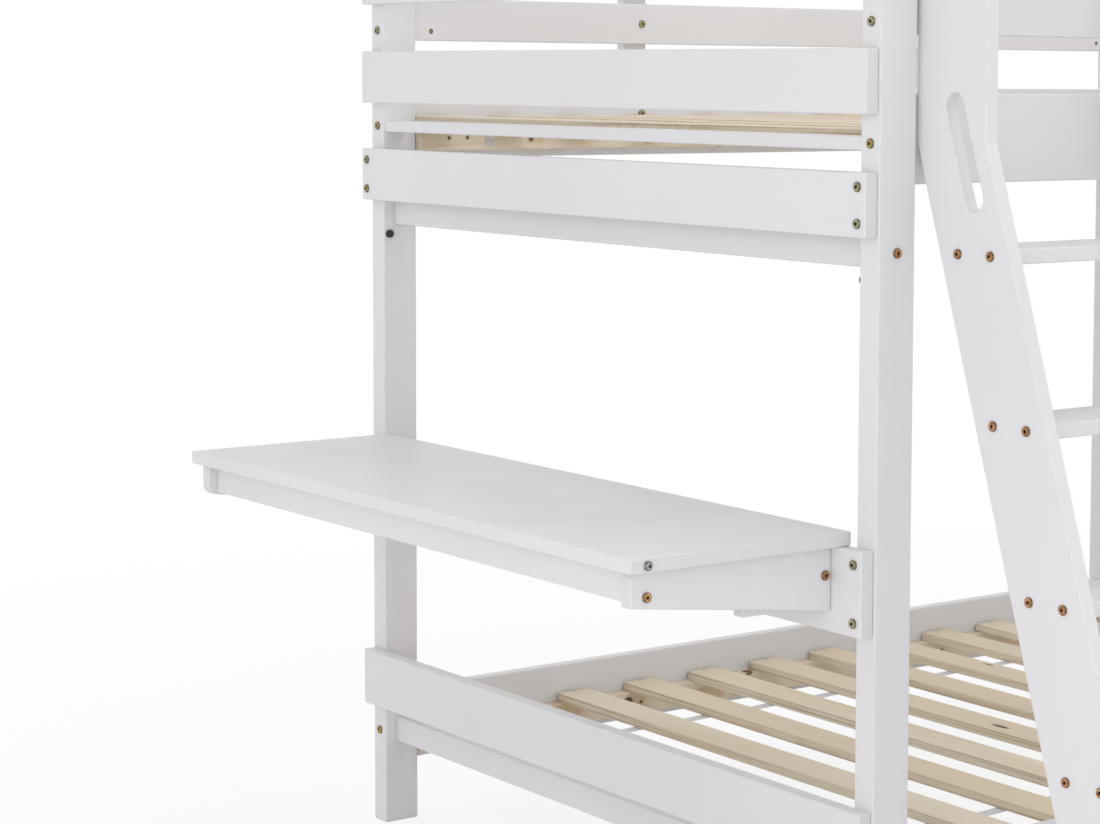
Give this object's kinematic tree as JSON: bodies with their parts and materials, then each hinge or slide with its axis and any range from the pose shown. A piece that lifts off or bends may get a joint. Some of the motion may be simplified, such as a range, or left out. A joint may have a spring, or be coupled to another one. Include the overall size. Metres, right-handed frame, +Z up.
{
  "type": "bunk bed with folding table",
  "caption": "White wooden bunk bed for two wide mattresses, with a leaning ladder on one side and a table that folds up at one end.",
  "frame": {"origin": "on the floor, under the middle of the whole part with its table lowered", "axes": "+X along the bed from the table end to the head end, -Y towards the ladder side, +Z up"},
  "size_m": [2.4432, 2.034, 1.7],
  "materials": {
    "white_paint": "smooth white paint on planed pine",
    "pine": "bare planed pine",
    "webbing": "woven polyester tape",
    "zinc_steel": "bright zinc",
    "yellow_zinc": "yellow passivated zinc",
    "black_plastic": "moulded black plastic over a magnet"
  },
  "bodies": {
    "frame": {"cross_rail_bolts": "yellow_zinc", "end_board_bolts": "yellow_zinc", "far_head_post": "white_paint", "far_lower_guard_rail": "white_paint", "far_lower_side_rail": "white_paint", "far_table_post": "white_paint", "far_upper_guard_rail": "white_paint", "far_upper_side_rail": "white_paint", "frame_barrel_nuts": "zinc_steel", "frame_dowels": "pine", "frame_screws": "zinc_steel", "guard_uprights": "white_paint", "head_end_low_board": "white_paint", "head_end_low_rail": "white_paint", "head_end_lower_board": "white_paint", "head_end_middle_board": "white_paint", "head_end_slat_rail": "white_paint", "head_end_top_board": "white_paint", "head_end_upper_board": "white_paint", "hinge_frame_leaves": "zinc_steel", "hinge_pins": "zinc_steel", "ladder_bolts": "yellow_zinc", "ladder_brackets": "zinc_steel", "ladder_left_stile": "white_paint", "ladder_right_stile": "white_paint", "ladder_treads": "white_paint", "lower_ledgers": "pine", "lower_slats": "pine", "near_head_post": "white_paint", "near_lower_guard_rail": "white_paint", "near_lower_side_rail": "white_paint", "near_table_post": "white_paint", "near_upper_guard_rail": "white_paint", "near_upper_side_rail": "white_paint", "rail_bolts": "yellow_zinc", "slat_nails": "zinc_steel", "slat_tapes": "webbing", "table_bearer_board": "white_paint", "table_catches": "black_plastic", "table_end_low_board": "white_paint", "table_end_low_rail": "white_paint", "table_end_lower_board": "white_paint", "table_end_slat_rail": "white_paint", "table_end_top_board": "white_paint", "table_end_upper_board": "white_paint", "table_stop_rail": "white_paint", "upper_ledgers": "pine", "upper_slats": "pine", "upright_bolts": "zinc_steel"},
    "table": {"table_board": "white_paint", "near_table_arm": "white_paint", "far_table_arm": "white_paint", "table_apron": "white_paint", "table_batten": "white_paint", "table_arm_blocks": "white_paint", "table_bolts": "yellow_zinc", "table_barrel_nuts": "zinc_steel", "table_screws": "zinc_steel", "table_studs": "zinc_steel", "hinge_table_leaves": "zinc_steel"}
  },
  "joints": [
    {"name": "table_fold", "type": "hinge", "parent": "frame", "child": "table", "pos_m": [-0.8046, 0.27751, 0.739], "axis": [0, 1, 0], "range_deg": [0, 90]}
  ]
}
